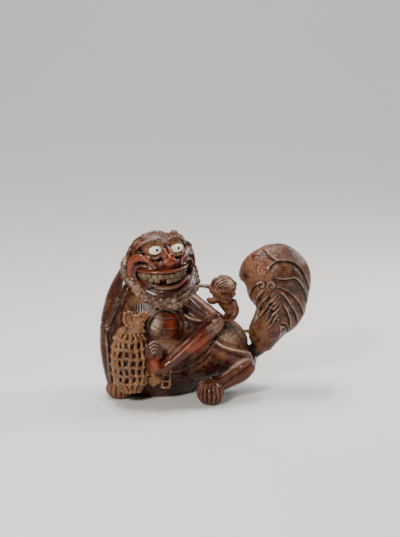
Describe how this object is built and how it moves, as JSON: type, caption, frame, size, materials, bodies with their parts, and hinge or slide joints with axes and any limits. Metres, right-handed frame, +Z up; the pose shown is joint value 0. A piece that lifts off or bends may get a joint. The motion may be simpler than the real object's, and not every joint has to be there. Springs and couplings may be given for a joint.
{
  "type": "carved lion figurine",
  "caption": "Bamboo-root carving of a crouching lion that holds a net ball under one paw and carries a cub on its elbow, with a plume tail rising behind.",
  "frame": {"origin": "centre of the carving's bounding box, on the surface it stands on", "axes": "+X from the chest towards the tail, along the carving's length; the carved front faces -Y; +Z up"},
  "size_m": [0.157, 0.0848, 0.1249],
  "materials": {
    "root_wood": "polished and darkened bamboo root, paler where the relief is worn",
    "eye_inlay": "smooth pale disc, bone or horn",
    "pupil_peg": "polished dark peg"
  },
  "bodies": {
    "root": {"lion_carving": "root_wood", "eye_right": "eye_inlay", "eye_left": "eye_inlay", "pupil_right": "pupil_peg", "pupil_left": "pupil_peg"}
  },
  "joints": []
}
